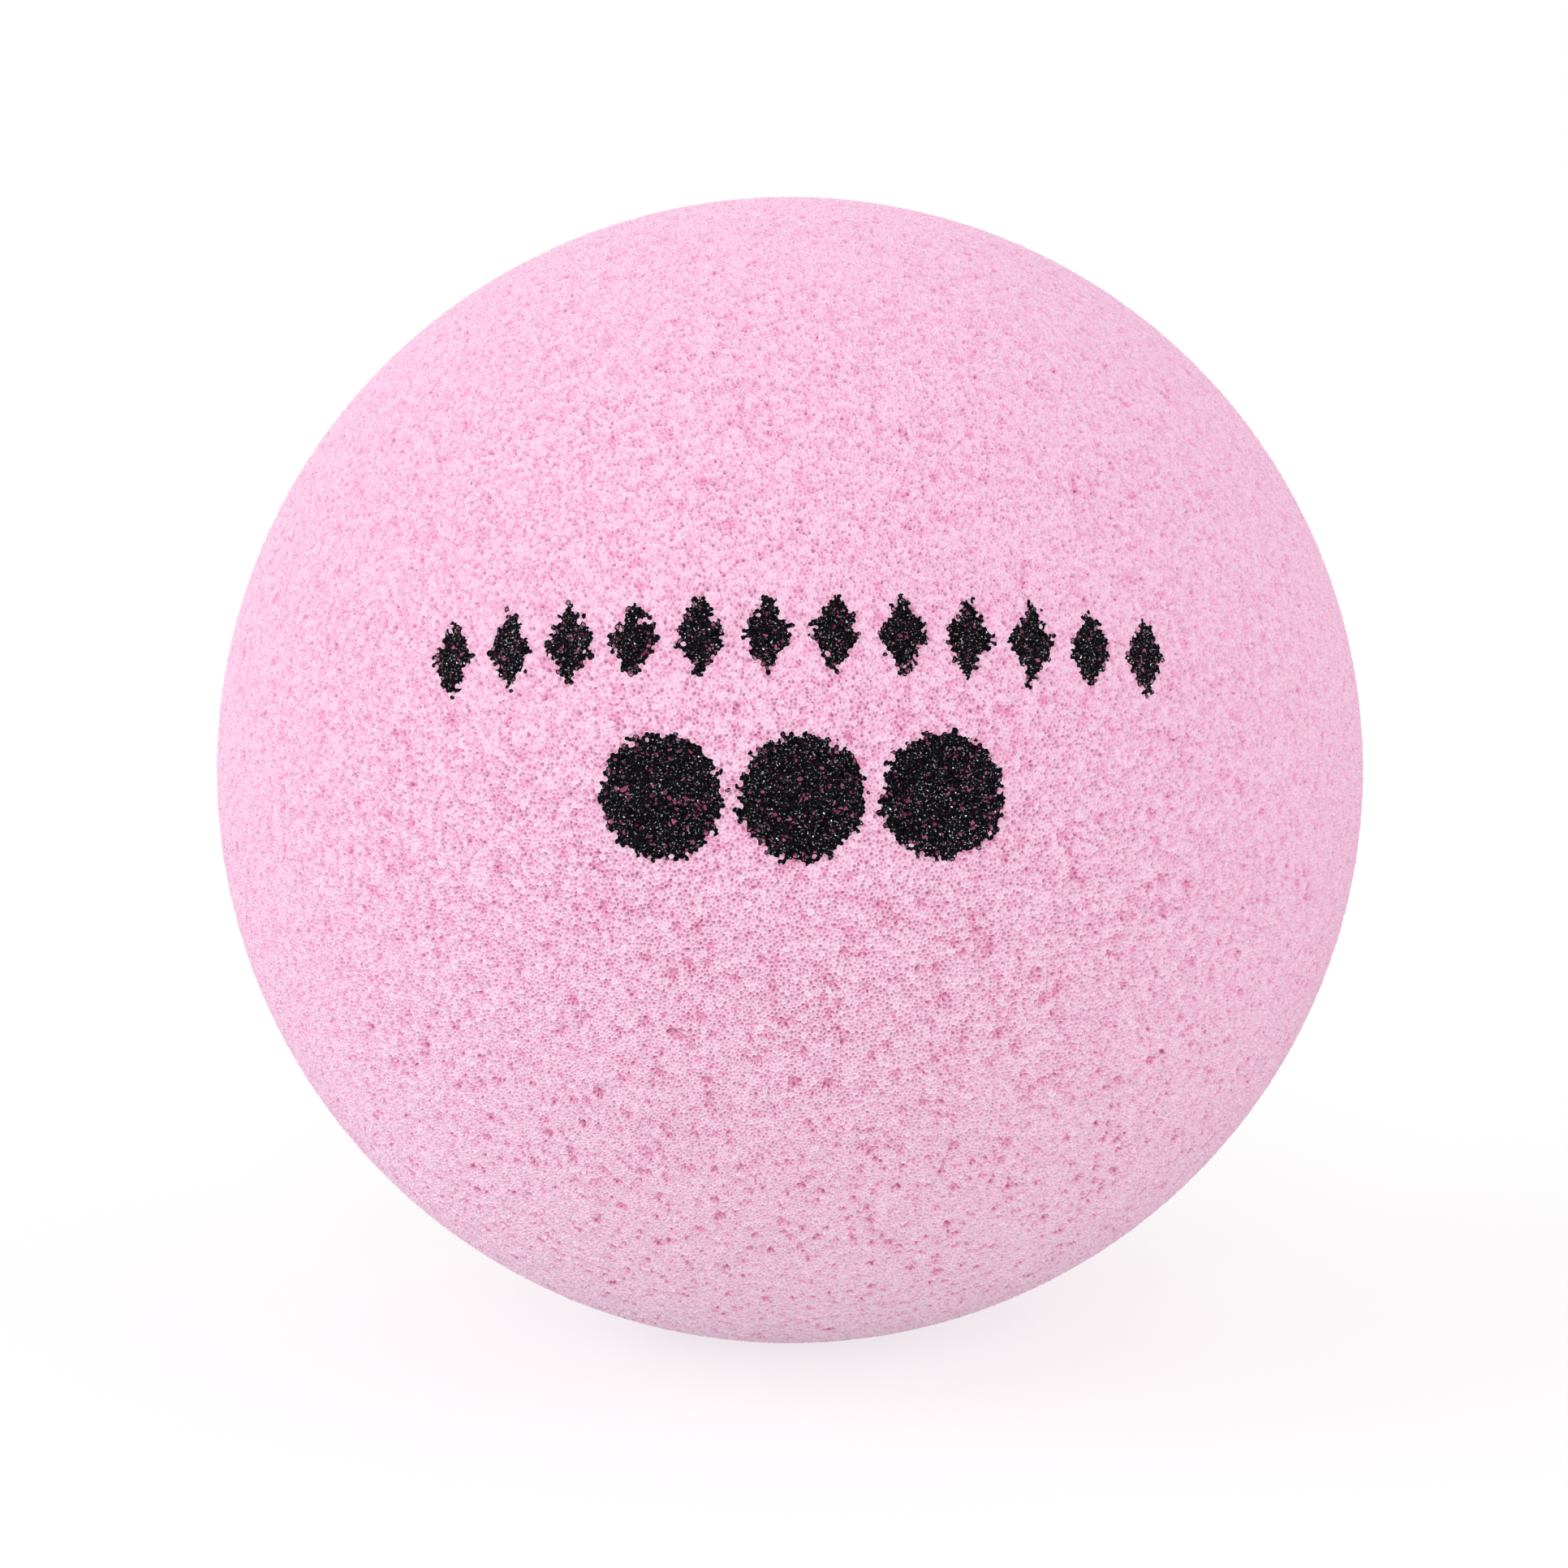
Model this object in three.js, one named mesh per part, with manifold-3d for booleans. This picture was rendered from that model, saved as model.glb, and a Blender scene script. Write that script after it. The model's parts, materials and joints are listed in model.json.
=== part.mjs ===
// A soft foam ball with a print in two rows on its front.
// The ball is one body of open-cell foam, solid to the middle, with no skin, seam or valve.
// The print is ink that sits in the outer cells, so each mark is a thin curved piece let into the foam.
// Millimetres, +Z up. The print faces -Y.
// The origin is on the surface that the ball rests on, straight under the ball's middle.

import * as THREE from 'three';
import { mergeVertices } from 'three/addons/utils/BufferGeometryUtils.js';
import Module from 'manifold-3d';

const wasm = await Module();
wasm.setup();

// Foam body
const BALL_DIAMETER = 120;
const REST_DIAMETER = 14; // flat that the soft foam makes on a table under its own weight

// Ink
const INK_DEPTH = 0.8; // how far the ink has soaked into the outer cells
const INK_CLEARANCE = 0.3; // gap around and under each mark in its pocket

// Print, with lengths measured along the ball's surface
const PRINT_ELEVATION = 8; // degrees that the print's middle looks up
const PIP_COUNT = 3;
const PIP_DIAMETER = 11.6;
const PIP_GAP = 1.6;
const PIP_ROW_DROP = 2.5; // the row of pips lies this far below the print's middle
const DIAMOND_COUNT = 12;
const DIAMOND_WIDTH = 4.6;
const DIAMOND_HEIGHT = 8;
const DIAMOND_GAP = 1.7;
const ROW_GAP = 5.4; // bare foam between the two rows

// Facets of the round surfaces
const FACETS_AROUND = 72;
const FACETS_UP = 36;
const PIP_FACETS = 16; // on each half of a pip's edge

const BALL_RADIUS = BALL_DIAMETER / 2;
const REST_RADIUS = REST_DIAMETER / 2;
const CENTRE_HEIGHT = Math.sqrt(BALL_RADIUS ** 2 - REST_RADIUS ** 2);

const foamFinish = { color: 0xf3bfda, roughness: 0.95, metalness: 0 };
const inkFinish = { color: 0x0d080c, roughness: 0.45, metalness: 0 };

// A closed geometry as a solid that can be joined and cut.
function solidOf(geometry) {
  const bare = geometry.clone();
  bare.deleteAttribute('normal');
  bare.deleteAttribute('uv');
  const merged = mergeVertices(bare);
  const corners = merged.index.array;
  const triangles = [];
  for (let i = 0; i < corners.length; i += 3) {
    const [a, b, c] = [corners[i], corners[i + 1], corners[i + 2]];
    const hasArea = a !== b && b !== c && c !== a;
    if (hasArea) triangles.push(a, b, c);
  }
  return new wasm.Manifold(new wasm.Mesh({
    numProp: 3,
    vertProperties: new Float32Array(merged.attributes.position.array),
    triVerts: new Uint32Array(triangles),
  }));
}

function geometryOf(solid) {
  const { vertProperties, triVerts } = solid.getMesh();
  const geometry = new THREE.BufferGeometry();
  geometry.setAttribute('position', new THREE.BufferAttribute(vertProperties, 3));
  geometry.setIndex(new THREE.BufferAttribute(triVerts, 1));
  geometry.computeVertexNormals();
  return geometry;
}

// The ball about its own middle: a half circle turned about Z, cut off flat where it rests.
function ballGeometry() {
  const restAngle = -Math.asin(CENTRE_HEIGHT / BALL_RADIUS);
  const side = new THREE.EllipseCurve(0, 0, BALL_RADIUS, BALL_RADIUS, restAngle, Math.PI / 2);
  const restMiddle = new THREE.Vector2(0, -CENTRE_HEIGHT);
  const profile = [restMiddle, ...side.getPoints(FACETS_UP)];
  return new THREE.LatheGeometry(profile, FACETS_AROUND).rotateX(Math.PI / 2);
}

// Outlines of the marks, each grown on all sides by the same margin.
function pipOutline(margin) {
  return new THREE.Shape().absarc(0, 0, PIP_DIAMETER / 2 + margin, 0, 2 * Math.PI);
}

function diamondOutline(margin) {
  const edgeLength = Math.hypot(DIAMOND_WIDTH, DIAMOND_HEIGHT) / 2;
  const edgeDistance = (DIAMOND_WIDTH * DIAMOND_HEIGHT) / 4 / edgeLength;
  const growth = 1 + margin / edgeDistance;
  const halfWidth = (DIAMOND_WIDTH / 2) * growth;
  const halfHeight = (DIAMOND_HEIGHT / 2) * growth;
  return new THREE.Shape([
    new THREE.Vector2(halfWidth, 0),
    new THREE.Vector2(0, halfHeight),
    new THREE.Vector2(-halfWidth, 0),
    new THREE.Vector2(0, -halfHeight),
  ]);
}

// The part of a round shell that lies behind an outline, which faces +Z.
function shellPatch(outline, innerRadius, outerRadius) {
  const prism = new THREE.ExtrudeGeometry(outline, {
    depth: outerRadius,
    bevelEnabled: false,
    curveSegments: PIP_FACETS,
  });
  const outer = new THREE.SphereGeometry(outerRadius, FACETS_AROUND, FACETS_UP);
  const inner = new THREE.SphereGeometry(innerRadius, FACETS_AROUND, FACETS_UP);
  return solidOf(prism).intersect(solidOf(outer)).subtract(solidOf(inner));
}

function inkPatch(outline) {
  return geometryOf(shellPatch(outline(0), BALL_RADIUS - INK_DEPTH, BALL_RADIUS));
}

function pocketPatch(outline) {
  const floorRadius = BALL_RADIUS - INK_DEPTH - INK_CLEARANCE;
  return geometryOf(shellPatch(outline(INK_CLEARANCE), floorRadius, BALL_RADIUS + INK_CLEARANCE));
}

// A row of equal marks along a great circle of the ball, spread evenly about the front.
function printRow({ name, outline, count, width, gap, height }) {
  const row = new THREE.Group();
  const elevation = THREE.MathUtils.degToRad(PRINT_ELEVATION) + height / BALL_RADIUS;
  row.rotation.x = Math.PI / 2 - elevation;
  const ink = inkPatch(outline);
  const pocket = pocketPatch(outline);
  for (let i = 0; i < count; i += 1) {
    const mark = new THREE.Mesh(ink, new THREE.MeshStandardMaterial(inkFinish));
    mark.name = `${name}_${String(i + 1).padStart(2, '0')}`;
    const along = (i - (count - 1) / 2) * (width + gap);
    mark.rotation.y = along / BALL_RADIUS;
    mark.userData.pocket = pocket;
    row.add(mark);
  }
  return row;
}

const pipRow = printRow({
  name: 'print_pip',
  outline: pipOutline,
  count: PIP_COUNT,
  width: PIP_DIAMETER,
  gap: PIP_GAP,
  height: -PIP_ROW_DROP,
});

const diamondRow = printRow({
  name: 'print_diamond',
  outline: diamondOutline,
  count: DIAMOND_COUNT,
  width: DIAMOND_WIDTH,
  gap: DIAMOND_GAP,
  height: -PIP_ROW_DROP + PIP_DIAMETER / 2 + ROW_GAP + DIAMOND_HEIGHT / 2,
});

const rows = [pipRow, diamondRow];

// The foam body: the ball with one shallow pocket for each mark.
function foamBody() {
  let foam = solidOf(ballGeometry());
  for (const row of rows) {
    row.updateMatrixWorld(true);
    for (const mark of row.children) {
      const pocket = mark.userData.pocket.clone().applyMatrix4(mark.matrixWorld);
      foam = foam.subtract(solidOf(pocket));
    }
  }
  const body = new THREE.Mesh(geometryOf(foam), new THREE.MeshStandardMaterial(foamFinish));
  body.name = 'foam_body';
  return body;
}

const foamBall = new THREE.Group();
foamBall.position.z = CENTRE_HEIGHT;
foamBall.add(foamBody(), ...rows);

export default foamBall;
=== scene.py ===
# %% [markdown]
# # A soft foam ball
#
# The ball is cut from a block of open-cell foam. Such foam is a froth that has set: bubbles packed against
# each other, with only thin struts left where they met. The cut goes through the bubbles, so the whole
# surface is a net of pale struts with a small pink pit behind each opening. A print of black ink is pressed
# on to the front, where it coats the outer struts and leaves some of the pits open.
#
# The lesson builds that net as a mesh, cell by cell, because foam that is only painted on to a smooth
# sphere has a razor-sharp outline and looks flat under a lamp.

import json
import math

import bpy
import numpy as np
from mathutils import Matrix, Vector
from mathutils.bvhtree import BVHTree

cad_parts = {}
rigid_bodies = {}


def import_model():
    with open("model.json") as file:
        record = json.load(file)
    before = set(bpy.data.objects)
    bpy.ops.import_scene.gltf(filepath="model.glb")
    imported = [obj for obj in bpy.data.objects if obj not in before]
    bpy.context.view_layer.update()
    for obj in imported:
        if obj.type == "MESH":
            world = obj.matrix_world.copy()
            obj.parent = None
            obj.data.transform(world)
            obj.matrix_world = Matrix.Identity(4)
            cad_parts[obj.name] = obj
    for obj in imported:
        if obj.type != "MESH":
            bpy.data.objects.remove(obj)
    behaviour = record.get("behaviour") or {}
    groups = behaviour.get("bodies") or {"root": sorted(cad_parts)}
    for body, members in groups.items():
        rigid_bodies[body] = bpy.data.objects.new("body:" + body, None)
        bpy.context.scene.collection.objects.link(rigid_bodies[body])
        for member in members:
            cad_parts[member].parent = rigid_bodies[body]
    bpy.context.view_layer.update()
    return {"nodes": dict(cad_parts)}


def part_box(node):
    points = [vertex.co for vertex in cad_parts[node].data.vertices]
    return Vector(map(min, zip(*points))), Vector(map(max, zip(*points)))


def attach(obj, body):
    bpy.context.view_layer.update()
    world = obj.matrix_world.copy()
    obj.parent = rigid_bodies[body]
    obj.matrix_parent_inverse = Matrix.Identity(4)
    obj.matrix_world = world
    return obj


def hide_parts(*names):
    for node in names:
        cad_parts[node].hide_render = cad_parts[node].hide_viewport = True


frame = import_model()

MM = 0.001
FLOOR_TOLERANCE = 0.01 * MM


def ball_from_flat(node):
    """Radius and middle of a ball that is cut flat at the floor, from its height and the flat's width."""
    corners = np.array([corner.co for corner in node.data.vertices])
    height = corners[:, 2].max()
    on_floor = corners[corners[:, 2] < FLOOR_TOLERANCE]
    flat_radius = np.hypot(on_floor[:, 0], on_floor[:, 1]).max()
    radius = (flat_radius**2 + height**2) / (2 * height)
    return float(radius), Vector((0, 0, height - radius))


RADIUS, CENTRE = ball_from_flat(frame["nodes"]["foam_body"])
MIDDLE = np.array(CENTRE)
print(f"ball {2 * RADIUS / MM:.2f} mm across, its middle {CENTRE.z / MM:.2f} mm above the floor")

# %% [markdown]
# ## Hand tools
#
# Blender's operators act on whatever is selected and active, like a hand on a bench. A few short helpers keep
# that in order. Two clear the bench and put one piece on it, two open and close a mesh for editing, and one
# puts a modifier on and applies it at once. One picks points or faces in code by a list of true and false,
# and one copies the picked faces off into a piece of their own. The last two read where a piece's points are
# and count its triangles.

# %% Bench helpers
def clear_bench():
    bpy.ops.object.select_all(action="DESELECT")


def make_active(piece):
    clear_bench()
    piece.select_set(True)
    bpy.context.view_layer.objects.active = piece


def open_mesh(kind, select="SELECT"):
    bpy.ops.object.mode_set(mode="EDIT")
    bpy.ops.mesh.select_mode(type=kind)
    bpy.ops.mesh.select_all(action=select)


def close_mesh():
    bpy.ops.object.mode_set(mode="OBJECT")


def apply_modifier(piece, kind, **settings):
    modifier = piece.modifiers.new(kind.lower(), kind)
    for name, value in settings.items():
        setattr(modifier, name, value)
    bpy.ops.object.modifier_apply(modifier=modifier.name)


def pick(piece, kind, wanted):
    open_mesh(kind, "DESELECT")
    close_mesh()
    elements = {"VERT": piece.data.vertices, "FACE": piece.data.polygons}[kind]
    elements.foreach_set("select", wanted)
    bpy.ops.object.mode_set(mode="EDIT")


def copy_off(piece, wanted, name):
    make_active(piece)
    pick(piece, "FACE", wanted)
    bpy.ops.mesh.duplicate()
    bpy.ops.mesh.separate(type="SELECTED")
    close_mesh()
    copy = next(other for other in bpy.context.selected_objects if other != piece)
    copy.name = name
    return copy


def points_of(piece):
    places = np.empty(len(piece.data.vertices) * 3, np.float32)
    piece.data.vertices.foreach_get("co", places)
    return places.reshape(-1, 3)


def triangles_of(piece):
    return len(piece.data.loops) - 2 * len(piece.data.polygons)


# %% [markdown]
# ## Camera
#
# A ball has no corners to line a camera up with, but its outline is enough. How much of the picture the
# outline fills gives the distance for a chosen lens, and its place in the picture gives the shift, which
# slides the picture without turning the view. The print looks up by 8 degrees, and the camera stands that far
# up, so that it meets the print squarely.

# %% Camera
PHOTO_SIDE = 1932
OUTLINE_X = 973.3
OUTLINE_Y = 948.7
OUTLINE_RADIUS = 705.3
LENS = 100.0
SENSOR = 36.0
VIEW_UP = math.radians(8.0)
VIEW_ROUND = math.radians(-1.1)
NEAREST_SEEN = 0.01

half_angle = math.atan(SENSOR / LENS * OUTLINE_RADIUS / PHOTO_SIDE)
distance = RADIUS / math.sin(half_angle)
away = Vector((
    math.sin(VIEW_ROUND) * math.cos(VIEW_UP),
    -math.cos(VIEW_ROUND) * math.cos(VIEW_UP),
    math.sin(VIEW_UP),
))
bpy.ops.object.camera_add(
    location=CENTRE + distance * away,
    rotation=(math.pi / 2 - VIEW_UP, 0, VIEW_ROUND),
)
camera = bpy.context.object
camera.data.lens = LENS
camera.data.sensor_width = SENSOR
camera.data.shift_x = (PHOTO_SIDE / 2 - OUTLINE_X) / PHOTO_SIDE
camera.data.shift_y = (OUTLINE_Y - PHOTO_SIDE / 2) / PHOTO_SIDE
camera.data.clip_start = NEAREST_SEEN
bpy.context.scene.camera = camera
bpy.context.scene.view_settings.view_transform = "Standard"
print(f"camera {distance:.3f} m from the ball's middle")

# %% [markdown]
# ## Floor and light
#
# Small goods are often photographed in a white tent on a light table: light comes from all round, and from
# below as well, so that the underside isn't lost in its own shadow. The tent is an even white sky. The table
# has some emission of its own under a grey diffuse finish, which still takes the ball's shadow. Both are
# brighter where they are seen than they are as lamps, so that they come out white: a Light Path node tells
# the rays of sight from the rest. A broad lamp at the left gives the ball its lighter side, a narrower one
# from the front reaches into the pits and puts glints on the ink, and a weak, pinkish one at the right fills
# that side.

# %% Floor and light
FLOOR_SIDE = 40.0
FLOOR_COLOUR = 0.38
FLOOR_GLOW = 0.37
FLOOR_GLOW_SEEN = 0.68
SKY_LIGHT = 0.64
SKY_SEEN = 1.0
LAMPS = (
    # name, place that it shines from, strength, angle in degrees, colour
    ("key_lamp", (-0.95, -0.18, 0.26), 1.32, 60, (0.95, 1.00, 1.00)),
    ("front_lamp", (-0.05, -0.93, 0.36), 0.90, 26, (1.00, 1.00, 1.00)),
    ("fill_lamp", (0.90, -0.35, 0.25), 0.50, 60, (1.00, 0.86, 0.92)),
)


def grey(level):
    return (level, level, level, 1.0)


def seen_brighter(tree, socket, level, level_seen):
    """Give a strength one level as a lamp and another where it is seen, also in a shine or through glass."""
    path = tree.nodes.new("ShaderNodeLightPath")
    seen = path.outputs["Is Camera Ray"]
    for ray in ("Is Glossy Ray", "Is Transmission Ray"):
        either = tree.nodes.new("ShaderNodeMath")
        either.operation = "MAXIMUM"
        tree.links.new(seen, either.inputs[0])
        tree.links.new(path.outputs[ray], either.inputs[1])
        seen = either.outputs["Value"]
    choice = tree.nodes.new("ShaderNodeMapRange")
    choice.inputs["To Min"].default_value = level
    choice.inputs["To Max"].default_value = level_seen
    tree.links.new(seen, choice.inputs["Value"])
    tree.links.new(choice.outputs["Result"], socket)


def light_floor():
    clear_bench()
    bpy.ops.mesh.primitive_plane_add(size=FLOOR_SIDE)
    floor = bpy.context.object
    floor.name = "floor"
    sheet = bpy.data.materials.new("light_table")
    sheet.use_nodes = True
    shader = sheet.node_tree.nodes["Principled BSDF"]
    shader.inputs["Base Color"].default_value = grey(FLOOR_COLOUR)
    shader.inputs["Roughness"].default_value = 1.0
    shader.inputs["Specular IOR Level"].default_value = 0.0
    shader.inputs["Emission Color"].default_value = grey(1.0)
    seen_brighter(sheet.node_tree, shader.inputs["Emission Strength"], FLOOR_GLOW, FLOOR_GLOW_SEEN)
    floor.data.materials.append(sheet)


def white_sky():
    world = bpy.data.worlds.new("white_sky")
    world.use_nodes = True
    tent = world.node_tree.nodes["Background"]
    tent.inputs["Color"].default_value = grey(1.0)
    seen_brighter(world.node_tree, tent.inputs["Strength"], SKY_LIGHT, SKY_SEEN)
    bpy.context.scene.world = world


def lamp(name, origin, strength, angle, colour):
    """A lamp so far away that its light is parallel. Gives back how bright it makes a white floor."""
    origin = Vector(origin)
    turn = origin.to_track_quat("Z", "Y").to_euler()
    bpy.ops.object.light_add(type="SUN", location=origin, rotation=turn)
    sun = bpy.context.object
    sun.name = name
    sun.data.energy = strength
    sun.data.angle = math.radians(angle)
    sun.data.color = colour
    return strength * origin.normalized().z / math.pi


light_floor()
white_sky()
on_floor = SKY_LIGHT + sum(lamp(*settings) for settings in LAMPS)
print(f"open floor comes out at {FLOOR_GLOW_SEEN + FLOOR_COLOUR * on_floor:.2f}, where 1 is white")

# %% [markdown]
# ## Foam cells
#
# Cut bubbles meet three at a point, like a crazed honeycomb in which no two cells are alike. Drawing such a
# net by hand is hopeless, but every mesh of triangles hides one: put a point in the middle of each triangle
# and join the points of neighbours, and each corner of the old mesh becomes a cell. That is the Dual Mesh
# node. A fine ico sphere alone would give a perfect honeycomb, so its points are first shaken and
# brought back to the ball by Cast, then thinned by Decimate, which merges short edges wherever it finds them.

# %% Foam cells
FINE_STEPS = 9
SHAKE = 0.16 * MM
SHAKE_SEED = 3
KEPT_SHARE = 0.47


def back_to_ball(piece):
    apply_modifier(
        piece, "CAST", cast_type="SPHERE", factor=1.0, use_radius_as_size=False, size=RADIUS, radius=0.0
    )


def cells_from_corners(piece):
    tree = bpy.data.node_groups.new("corners_to_cells", "GeometryNodeTree")
    tree.interface.new_socket("Geometry", in_out="INPUT", socket_type="NodeSocketGeometry")
    tree.interface.new_socket("Geometry", in_out="OUTPUT", socket_type="NodeSocketGeometry")
    given = tree.nodes.new("NodeGroupInput")
    dual = tree.nodes.new("GeometryNodeDualMesh")
    made = tree.nodes.new("NodeGroupOutput")
    tree.links.new(given.outputs[0], dual.inputs["Mesh"])
    tree.links.new(dual.outputs["Dual Mesh"], made.inputs[0])
    apply_modifier(piece, "NODES", node_group=tree)


def cell_widths(piece):
    areas = np.empty(len(piece.data.polygons), np.float32)
    piece.data.polygons.foreach_get("area", areas)
    return np.sqrt(areas * 4 / math.pi)


clear_bench()
bpy.ops.mesh.primitive_ico_sphere_add(subdivisions=FINE_STEPS, radius=RADIUS, location=CENTRE)
foam = bpy.context.object
foam.name = "foam"
open_mesh("VERT")
bpy.ops.transform.vertex_random(offset=SHAKE, uniform=1.0, seed=SHAKE_SEED)
close_mesh()
back_to_ball(foam)
apply_modifier(foam, "DECIMATE", ratio=KEPT_SHARE)
cells_from_corners(foam)
print(f"{len(foam.data.polygons)} cells, half of them over {np.median(cell_widths(foam)) / MM:.2f} mm wide")

# %% [markdown]
# ## Joined bubbles
#
# In any froth some bubbles have run together. Dissolving the strut between two cells joins them, and
# dissolving a point joins the three cells around it. Each is done to a small share of the net, chosen at
# random. Smoothing then does what surface tension does in wet foam: it pulls the struts straight, and the
# joined cells become round.

# %% Joined bubbles
TRIPLE_SHARE = 0.0006
TRIPLE_SEED = 12
PAIR_SHARE = 0.004
PAIR_SEED = 13
ROUNDING = 1
ROUNDING_PULL = 0.5
WIDTHS_SHOWN = (1, 50, 97, 99, 100)

open_mesh("VERT", "DESELECT")
bpy.ops.mesh.select_random(ratio=TRIPLE_SHARE, seed=TRIPLE_SEED)
bpy.ops.mesh.dissolve_verts()
close_mesh()
open_mesh("EDGE", "DESELECT")
bpy.ops.mesh.select_random(ratio=PAIR_SHARE, seed=PAIR_SEED)
bpy.ops.mesh.dissolve_edges(use_verts=True)
close_mesh()
open_mesh("VERT")
bpy.ops.mesh.vertices_smooth(factor=ROUNDING_PULL, repeat=ROUNDING)
close_mesh()
back_to_ball(foam)
widths = np.percentile(cell_widths(foam) / MM, WIDTHS_SHOWN).round(2)
print(f"cell widths in mm, at {WIDTHS_SHOWN} percent: {widths}")

# %% [markdown]
# ## A map for the skin
#
# The cells are still flat on the ball here, so this is the moment to unwrap them: once the surface is rough,
# its faces look every way, and an unwrap would shatter it. Poking and moving points later keeps this map.

# %% Map
MAP_NAME = "OFBake"
MAP_ANGLE = 1.15
MAP_MARGIN = 0.004

open_mesh("FACE")
bpy.ops.uv.smart_project(angle_limit=MAP_ANGLE, island_margin=MAP_MARGIN)
close_mesh()
foam.data.uv_layers.active.name = MAP_NAME
print(f"map {MAP_NAME} made on {len(foam.data.polygons)} flat cells")

# %% [markdown]
# ## Open side
#
# Foam isn't the same all through its block. Here the cells are cut deepest low on the front, and look finer
# towards the top and the sides. How open the foam is at a place is a number from 0 to 1 that grows smoothly
# towards the open side. For modifiers it goes into a vertex group, as if painted on with a weight brush.

# %% Open side
OPEN_SIDE = Vector((0.0, -0.75, -0.65)).normalized()
OPEN_FROM = 0.40
OPEN_TO = 0.92
OPEN_GROUP = "open_side"
LEAST_WEIGHT = 0.5  # share of their depth that pores have far from the open side
WEIGHT_STEPS = 20


def openness(places):
    """How open the foam is in each direction from the ball's middle."""
    facing = places @ np.array(OPEN_SIDE) / np.linalg.norm(places, axis=1)
    return np.clip((facing - OPEN_FROM) / (OPEN_TO - OPEN_FROM), 0, 1)


weights = foam.vertex_groups.new(name=OPEN_GROUP)
steps = np.round(openness(points_of(foam)) * WEIGHT_STEPS)
for step in range(WEIGHT_STEPS + 1):
    weight = LEAST_WEIGHT + (1 - LEAST_WEIGHT) * step / WEIGHT_STEPS
    weights.add(np.flatnonzero(steps == step).tolist(), weight, "REPLACE")
print(f"{(steps > 0).mean():.0%} of the points on the open side")

# %% [markdown]
# ## Wide pores
#
# Where a large bubble was cut, one looks into a hollow whose floor is again a net of cells. A Voronoi texture
# is a cloud of scattered points, and its value grows with the distance from the nearest one, so a colour ramp
# on it makes a ball around each point. Displace lets the surface sink wherever it cuts one of those balls, as
# a blade cuts bubbles: some through the middle, some only at the cap. Three layers make pores of three sizes,
# and the vertex group makes them deepest on the open side. Then the ball's place is applied, so that from
# here on heights are heights above the floor, and how far each point has sunk is kept, in millimetres, for
# the colours.

# %% Wide pores
PORES = (
    # spacing in mm, radius as a share of the spacing, depth in mm
    (3.3, 0.195, 0.35),
    (2.2, 0.215, 0.31),
    (1.2, 0.290, 0.25),
)
PORE_BOTTOM = 0.4  # share of a pore's radius that is sunk to the full depth
PLAINLY_SUNK = 0.1  # mm


def sink_pores(piece, spacing, radius, depth):
    bubbles = bpy.data.textures.new("bubbles", "VORONOI")
    bubbles.noise_scale = spacing * MM
    bubbles.use_color_ramp = True
    middle, edge = bubbles.color_ramp.elements
    middle.position = PORE_BOTTOM * radius
    middle.color = (1, 1, 1, 1)
    edge.position = radius
    edge.color = (0, 0, 0, 1)
    bubbles.color_ramp.interpolation = "EASE"
    apply_modifier(
        piece, "DISPLACE", texture=bubbles, texture_coords="LOCAL", direction="NORMAL",
        mid_level=0.0, strength=-depth * MM, vertex_group=OPEN_GROUP,
    )


for pore in PORES:
    sink_pores(foam, *pore)
foam.vertex_groups.clear()
bpy.ops.object.transform_apply(location=True, rotation=False, scale=False)
sunk = np.maximum(0, RADIUS - np.linalg.norm(points_of(foam) - MIDDLE, axis=1)) / MM
sunk_share = (sunk > PLAINLY_SUNK).mean()
print(f"{sunk_share:.0%} of the points sunk by over {PLAINLY_SUNK} mm, deepest {sunk.max():.2f} mm")

# %% [markdown]
# ## Struts
#
# Foam tears a little as it is cut, so no two struts end at the same height. Randomize, mostly along the
# surface's own direction, roughens the net. The soft ball also settles a little where it rests: what now lies
# below the floor is flattened on to it.

# %% Struts
STRUT_SPREAD = 0.11 * MM
STRUT_EVENNESS = 0.25  # from 0, shifts of any length up to the spread, to 1, all equally long
STRUT_UPRIGHT = 0.75  # from 0, shifts in any direction, to 1, all square to the surface
STRUT_SEED = 21

open_mesh("VERT")
bpy.ops.transform.vertex_random(
    offset=STRUT_SPREAD, uniform=STRUT_EVENNESS, normal=STRUT_UPRIGHT, seed=STRUT_SEED
)
close_mesh()


def settle_on_floor(piece):
    pick(piece, "VERT", points_of(piece)[:, 2] < 0)
    bpy.ops.transform.resize(value=(1, 1, 0), center_override=(0, 0, 0))
    close_mesh()


settle_on_floor(foam)
strut_ends = len(foam.data.vertices)
heights = (np.linalg.norm(points_of(foam) - MIDDLE, axis=1) - RADIUS) / MM
print(f"{strut_ends} strut ends, from {heights.min():.2f} to {heights.max():.2f} mm about the ball")

# %% [markdown]
# ## Inked cells
#
# The printing pad wets whole cells, so the edge of a mark is as ragged as the foam. Each mark of the frame
# says which cells it takes: a line from the ball's middle through a cell either meets the mark or misses it.
# The line is shifted a little at random, which frays the edge. The inked cells are copied off the foam
# before it gets its pits, to become the ink later on.

# %% Inked cells
FRAY = 0.24 * MM
FRAY_SEED = 17
MARKS = sorted(name for name in frame["nodes"] if name.startswith("print_"))


def mark_faces(piece, name, numbers):
    piece.data.attributes.new(name, "INT", "FACE").data.foreach_set("value", numbers)


def face_marks(piece, name):
    numbers = np.empty(len(piece.data.polygons), np.int32)
    piece.data.attributes[name].data.foreach_get("value", numbers)
    return numbers


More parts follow.
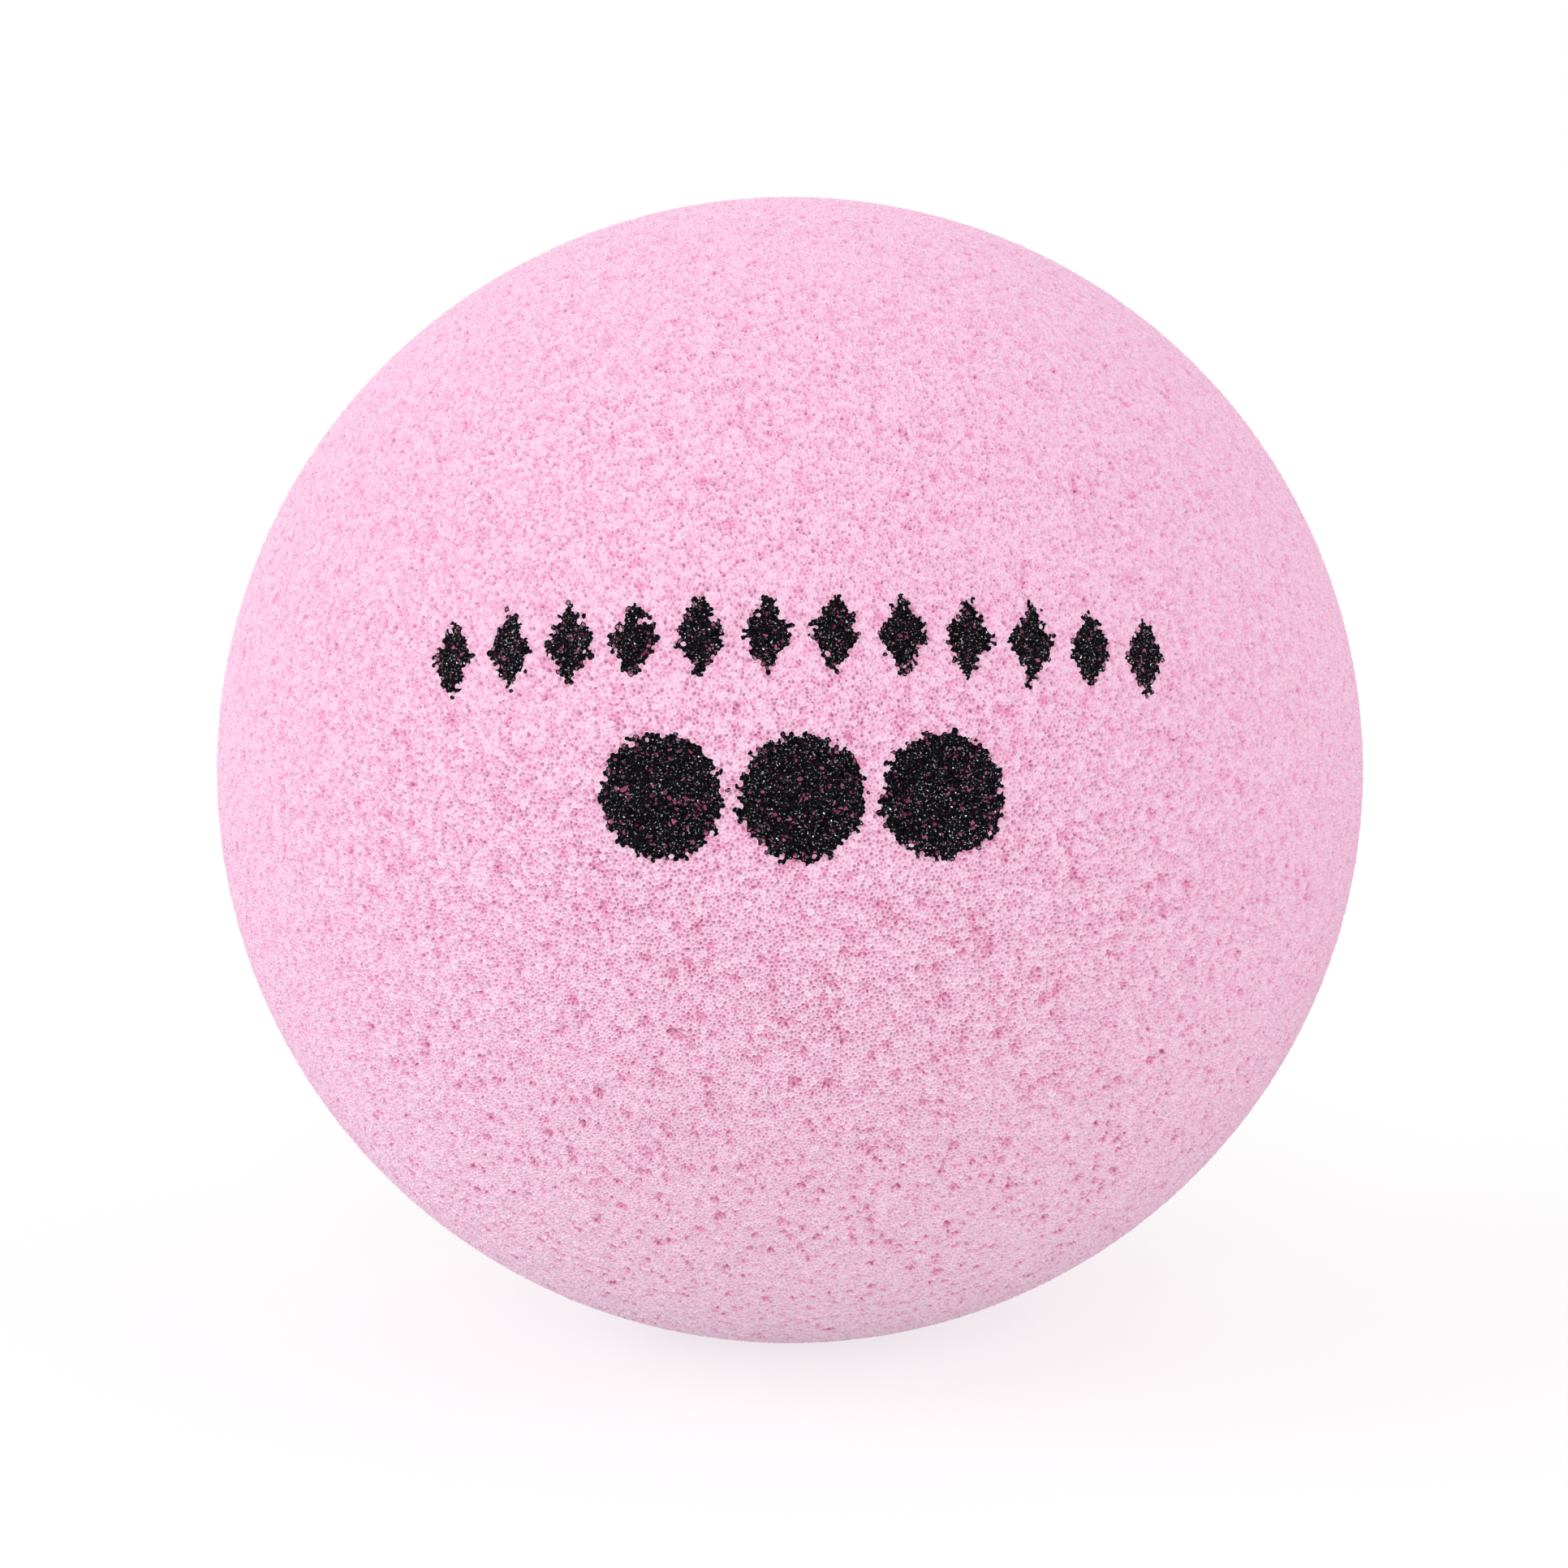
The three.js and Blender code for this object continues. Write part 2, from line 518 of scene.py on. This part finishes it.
def cells_in_mark(node, middles):
    mark = BVHTree.FromPolygons(
        [point.co for point in node.data.vertices],
        [face.vertices for face in node.data.polygons],
    )
    low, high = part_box(node.name)
    near = np.linalg.norm(middles - np.array((low + high) / 2), axis=1) < (high - low).length
    inside = np.zeros(len(middles), bool)
    for cell in np.flatnonzero(near):
        line = Vector(middles[cell]) - CENTRE
        inside[cell] = mark.ray_cast(CENTRE, line)[0] is not None
    return inside


middles = np.empty(len(foam.data.polygons) * 3, np.float32)
foam.data.polygons.foreach_get("center", middles)
middles = middles.reshape(-1, 3)
middles += np.random.default_rng(FRAY_SEED).normal(0, FRAY, middles.shape)
mark_of_cell = np.zeros(len(middles), np.int32)
for number, name in enumerate(MARKS, 1):
    mark_of_cell[cells_in_mark(frame["nodes"][name], middles)] = number
mark_faces(foam, "mark", mark_of_cell)
inked_cells = copy_off(foam, mark_of_cell > 0, "inked_cells")
print(f"{len(inked_cells.data.polygons)} cells in {len(MARKS)} marks")

# %% [markdown]
# ## Pits
#
# Each cell is the mouth of a cut bubble. Poke puts a point in the middle of a face and joins it to the
# corners, and with an offset that point goes in, so a flat cell becomes a pit. Bubbles are cut at any height,
# so the cells are poked in turns, each turn to another depth. Which turn a cell gets is drawn by lot, and on
# the open side the lots are better for a deep cut. A number on each face keeps its turn, because poking
# renumbers the faces. Each turn also notes how dark its new points are to be painted, as painted shade in the
# pit, from 0 for a strut to 1 for a deep pit.

# %% Pits
PITS = (
    # share of the cells, depth as a share of the cell's half width, painted shade at the pit's middle
    (0.22, 1.60, 1.00),
    (0.31, 1.10, 0.75),
    (0.24, 0.75, 0.55),
    (0.23, 0.40, 0.35),
)
OPEN_PULL = 0.36  # shift of a lot towards the deep cuts, from no openness to full
EVEN_OPEN = 0.40  # at this openness the lots are drawn as the shares say
LOT_SEED = 31


lots = np.random.default_rng(LOT_SEED).random(len(middles))
lots -= OPEN_PULL * (openness(middles - MIDDLE) - EVEN_OPEN)
limits = np.cumsum([share for share, depth, tint in PITS])[:-1]
turn_of_cell = np.searchsorted(limits, lots).astype(np.int32)
mark_faces(foam, "turn", turn_of_cell)

make_active(foam)
pit_shades = []
for turn, (share, depth, tint) in enumerate(PITS):
    pick(foam, "FACE", face_marks(foam, "turn") == turn)
    bpy.ops.mesh.poke(offset=-depth, use_relative_offset=True)
    close_mesh()
    pit_shades.append((len(foam.data.vertices), tint))
foam.data.attributes.remove(foam.data.attributes["turn"])
print("cells poked in each turn:", np.bincount(turn_of_cell))
print(f"foam of {triangles_of(foam)} triangles")

# %% [markdown]
# ## What the finish needs to know
#
# The foam's colour follows its shape, with its light and shade painted in: pale on the struts, and pinker and
# darker in the pits and pinkest in the wide pores, as painted shade, and darker where ink went in, from the
# ink's staining and painted shade under the ink's skin. Three numbers on each point carry that to the
# material. `pit` goes up to 1 in the middle of a deep pit. On a strut it is small, and it falls to 0 on the
# open side, where the struts are painted palest as a painted highlight. `pore` is how far the surface was
# sunk there, in millimetres, and a pit takes the deepest of the points around it. The third number is 1
# inside a mark, and 0 from the mark's outermost struts on, so that neither staining nor painted shade shows
# around the ink.

# %% Attributes for the finish
def set_numbers(piece, name, numbers):
    attribute = piece.data.attributes.new(name, "FLOAT", "POINT")
    attribute.data.foreach_set("value", numbers.astype(np.float32))


def corners_of(piece):
    corners = np.empty(len(piece.data.loops), np.int32)
    piece.data.loops.foreach_get("vertex_index", corners)
    return corners.reshape(-1, 3)


# a little painted shade on the struts away from the open side, none on it, where they get a painted highlight
STRUT_SHADE = 0.15
SPREAD_SHOWN = (50, 90, 99)

corners = corners_of(foam)
# painted highlight on the struts towards the open side, then the painted shade of each turn's pits
pit = STRUT_SHADE * (1 - openness(points_of(foam) - MIDDLE))
start = strut_ends
for end, tint in pit_shades:
    pit[start:end] = tint
    start = end
pore = np.zeros(len(foam.data.vertices))
pore[:strut_ends] = sunk
around = pore[corners].max(axis=1)
deepest = np.zeros(len(pore))
np.maximum.at(deepest, corners.ravel(), np.repeat(around, 3))
pore[strut_ends:] = deepest[strut_ends:]
# ink's staining and the shade under the ink's skin, painted: 1 inside a mark
stain_and_shade = np.zeros(len(pore))
marks = face_marks(foam, "mark")
stain_and_shade[corners[marks > 0].ravel()] = 1.0
stain_and_shade[corners[marks == 0].ravel()] = 0.0
for name, numbers in (("pit", pit), ("pore", pore), ("stain_and_shade", stain_and_shade)):
    set_numbers(foam, name, numbers)
    print(f"{name} at {SPREAD_SHOWN} percent: {np.percentile(numbers, SPREAD_SHOWN).round(2)}")
foam.data.attributes.remove(foam.data.attributes["mark"])

# %% [markdown]
# ## Foam finish
#
# Light wanders through foam before it comes out again, so struts look nearly white, pits take on the dye's
# colour, and nothing is truly dark. That light and the shade in the pits are painted into the colour here.
# Three colour ramps are multiplied: one along each pit's wall, with a painted highlight on the struts and
# painted shade further down, one with painted shade in the depth of the pores, and one for the ink's staining
# and the painted shade under the ink. Two faint noises in space, a coarse and a fine one, break up what is
# left of the evenness. The finish is matt, and flat shading keeps the pits crisp.

# %% Foam finish
def paint(red, green, blue):
    """A colour as a paint program shows it, from 0 to 255, turned into Blender's linear one."""
    return tuple(((value / 255 + 0.055) / 1.055) ** 2.4 for value in (red, green, blue)) + (1.0,)


def colour_ramp(tree, number, stops):
    ramp = tree.nodes.new("ShaderNodeValToRGB")
    for _ in stops[2:]:
        ramp.color_ramp.elements.new(0.5)
    for element, (position, colour) in zip(ramp.color_ramp.elements, stops):
        element.position = position
        element.color = paint(*colour)
    tree.links.new(number, ramp.inputs["Fac"])
    return ramp.outputs["Color"]


def number_ramp(tree, name, full, stops):
    """A ramp from 0 to the full value of one of the numbers on the mesh."""
    number = tree.nodes.new("ShaderNodeAttribute")
    number.attribute_name = name
    spread = tree.nodes.new("ShaderNodeMapRange")
    spread.inputs["From Max"].default_value = full
    tree.links.new(number.outputs["Fac"], spread.inputs["Value"])
    return colour_ramp(tree, spread.outputs["Result"], stops)


# where a Mix node has its two colours and the blended one
MIX_FIRST = 6
MIX_SECOND = 7
MIX_RESULT = 2


def multiply_colours(tree, first, second):
    blend = tree.nodes.new("ShaderNodeMix")
    blend.data_type = "RGBA"
    blend.blend_type = "MULTIPLY"
    blend.inputs["Factor"].default_value = 1.0
    tree.links.new(first, blend.inputs[MIX_FIRST])
    tree.links.new(second, blend.inputs[MIX_SECOND])
    return blend.outputs[MIX_RESULT]


NOISE_DETAIL = 2.0


def space_noise(tree, size, stops):
    place = tree.nodes.new("ShaderNodeTexCoord")
    noise = tree.nodes.new("ShaderNodeTexNoise")
    noise.inputs["Scale"].default_value = 1 / size
    noise.inputs["Detail"].default_value = NOISE_DETAIL
    tree.links.new(place.outputs["Object"], noise.inputs["Vector"])
    return colour_ramp(tree, noise.outputs["Fac"], stops)


PIT_DYE_AND_SHADE = (
    # how deep in the pit, from 0 to 1, and the colour there: the pale start is a painted highlight on the
    # struts, the darker pink further down is the dye with painted shade
    (0.00, (255, 247, 253)),
    (0.15, (252, 219, 238)),
    (0.32, (250, 206, 228)),
    (0.70, (241, 194, 217)),
    (1.00, (209, 148, 178)),
)
# painted shade in the wide pores, darker and pinker the deeper the surface is sunk
PORE_SHADE = (
    (0.00, (255, 255, 255)),
    (0.50, (252, 230, 241)),
    (1.00, (243, 204, 221)),
)
# ink's staining together with painted shade under the ink's skin
STAIN_AND_SHADE_TINT = (
    (0.0, (255, 255, 255)),
    (1.0, (196, 124, 155)),
)
MOTTLES = (
    # size in mm, colours at the two ends of the noise
    (1.4, ((0.35, (255, 250, 253)), (0.65, (255, 255, 255)))),
    (0.22, ((0.35, (240, 236, 240)), (0.65, (255, 255, 255)))),
)
FOAM_ROUGHNESS = 0.9
FOAM_SHINE = 0.25
# the pores' painted shade is full at this depth
FULL_PORE = 0.3  # mm of depth at which a pore has its full tint


def foam_finish():
    finish = bpy.data.materials.new("pink_foam")
    finish.use_nodes = True
    tree = finish.node_tree
    shader = tree.nodes["Principled BSDF"]
    shader.inputs["Roughness"].default_value = FOAM_ROUGHNESS
    shader.inputs["Specular IOR Level"].default_value = FOAM_SHINE
    # the dye's pink with a painted highlight on the struts and painted shade in the pits, pores and under the
    # ink
    colour = number_ramp(tree, "pit", 1.0, PIT_DYE_AND_SHADE)
    colour = multiply_colours(tree, colour, number_ramp(tree, "pore", FULL_PORE, PORE_SHADE))
    colour = multiply_colours(tree, colour, number_ramp(tree, "stain_and_shade", 1.0, STAIN_AND_SHADE_TINT))
    for size, stops in MOTTLES:
        colour = multiply_colours(tree, colour, space_noise(tree, size * MM, stops))
    tree.links.new(colour, shader.inputs["Base Color"])
    return finish


foam.data.materials.clear()
foam.data.materials.append(foam_finish())
make_active(foam)
bpy.ops.object.shade_flat()
print(f"foam finish on {foam.name}")

# %% [markdown]
# ## Ink
#
# Dried ink is a skin on the struts: it bridges the narrow pits and leaves others open, with pink showing
# deep inside. Each inked cell gets an inset, which makes a rim along its struts. Some of the inner faces are
# deleted, which opens those cells, and the rest are poked into shallow pits. Solidify gives the skin its
# thickness, and a last shake makes the facets uneven, so that a few of them catch the lamp as glints.

# %% Ink
INK_RIM = 0.085 * MM
INK_SINK = 0.05 * MM
INK_THICKNESS = 0.09 * MM
INK_SHAKE = 0.03 * MM
INK_PIT = 0.6  # depth as a share of the inner face's half width
INK_OUTWARD = 0.3  # from -1, all of the skin below the struts, to 1, all of it above
OPEN_SHARE = 0.18


def coat_struts(ink, seed):
    open_mesh("FACE")
    bpy.ops.mesh.inset(thickness=INK_RIM, depth=-INK_SINK, use_individual=True, use_even_offset=False)
    bpy.ops.mesh.hide(unselected=True)
    bpy.ops.mesh.select_all(action="DESELECT")
    bpy.ops.mesh.select_random(ratio=OPEN_SHARE, seed=seed)
    bpy.ops.mesh.delete(type="FACE")
    bpy.ops.mesh.select_all(action="SELECT")
    bpy.ops.mesh.poke(offset=-INK_PIT, use_relative_offset=True)
    bpy.ops.mesh.reveal(select=False)
    close_mesh()
    apply_modifier(ink, "SOLIDIFY", thickness=INK_THICKNESS, offset=INK_OUTWARD)
    open_mesh("VERT")
    bpy.ops.transform.vertex_random(offset=INK_SHAKE, uniform=1.0, seed=seed)
    close_mesh()


ink_pieces = []
for number, name in enumerate(MARKS, 1):
    own_cells = face_marks(inked_cells, "mark") == number
    ink = copy_off(inked_cells, own_cells, name.replace("print", "ink"))
    make_active(ink)
    coat_struts(ink, number)
    ink.data.uv_layers.remove(ink.data.uv_layers[MAP_NAME])
    ink.data.attributes.remove(ink.data.attributes["mark"])
    ink_pieces.append(ink)
bpy.data.objects.remove(inked_cells)
print("ink triangles:", [triangles_of(ink) for ink in ink_pieces])

# %% [markdown]
# ## Ink finish
#
# The ink is a dense black. Where it lies thin, some of the pink comes through, so the colour wanders between
# black and a dark crimson. It has dried glossy only in spots, and a finer noise says where: there a clear
# coat lies on it, which mirrors the white tent and the lamps in small glints, and the rest stays dark.

# %% Ink finish
INK_COLOUR = (
    (0.40, (8, 6, 14)),
    (0.62, (10, 6, 13)),
    (0.75, (52, 12, 26)),
)
INK_PATCH = 0.4 * MM
INK_ROUGHNESS = 0.5
INK_SHINE = 0.07
GLOSS = (
    (0.61, (0, 0, 0)),
    (0.65, (255, 255, 255)),
)
GLOSS_SPOT = 0.2 * MM
GLOSS_ROUGHNESS = 0.12
GLOSS_REFRACTION = 4.0


def ink_finish():
    finish = bpy.data.materials.new("black_ink")
    finish.use_nodes = True
    tree = finish.node_tree
    shader = tree.nodes["Principled BSDF"]
    tree.links.new(space_noise(tree, INK_PATCH, INK_COLOUR), shader.inputs["Base Color"])
    shader.inputs["Roughness"].default_value = INK_ROUGHNESS
    shader.inputs["Specular IOR Level"].default_value = INK_SHINE
    tree.links.new(space_noise(tree, GLOSS_SPOT, GLOSS), shader.inputs["Coat Weight"])
    shader.inputs["Coat Roughness"].default_value = GLOSS_ROUGHNESS
    shader.inputs["Coat IOR"].default_value = GLOSS_REFRACTION
    return finish


black_ink = ink_finish()
for ink in ink_pieces:
    ink.data.materials.clear()
    ink.data.materials.append(black_ink)
print(f"ink finish on {len(ink_pieces)} pieces")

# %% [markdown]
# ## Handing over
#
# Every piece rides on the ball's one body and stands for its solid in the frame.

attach(foam, "root")
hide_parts("foam_body")
for ink, name in zip(ink_pieces, MARKS):
    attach(ink, "root")
    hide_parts(name)
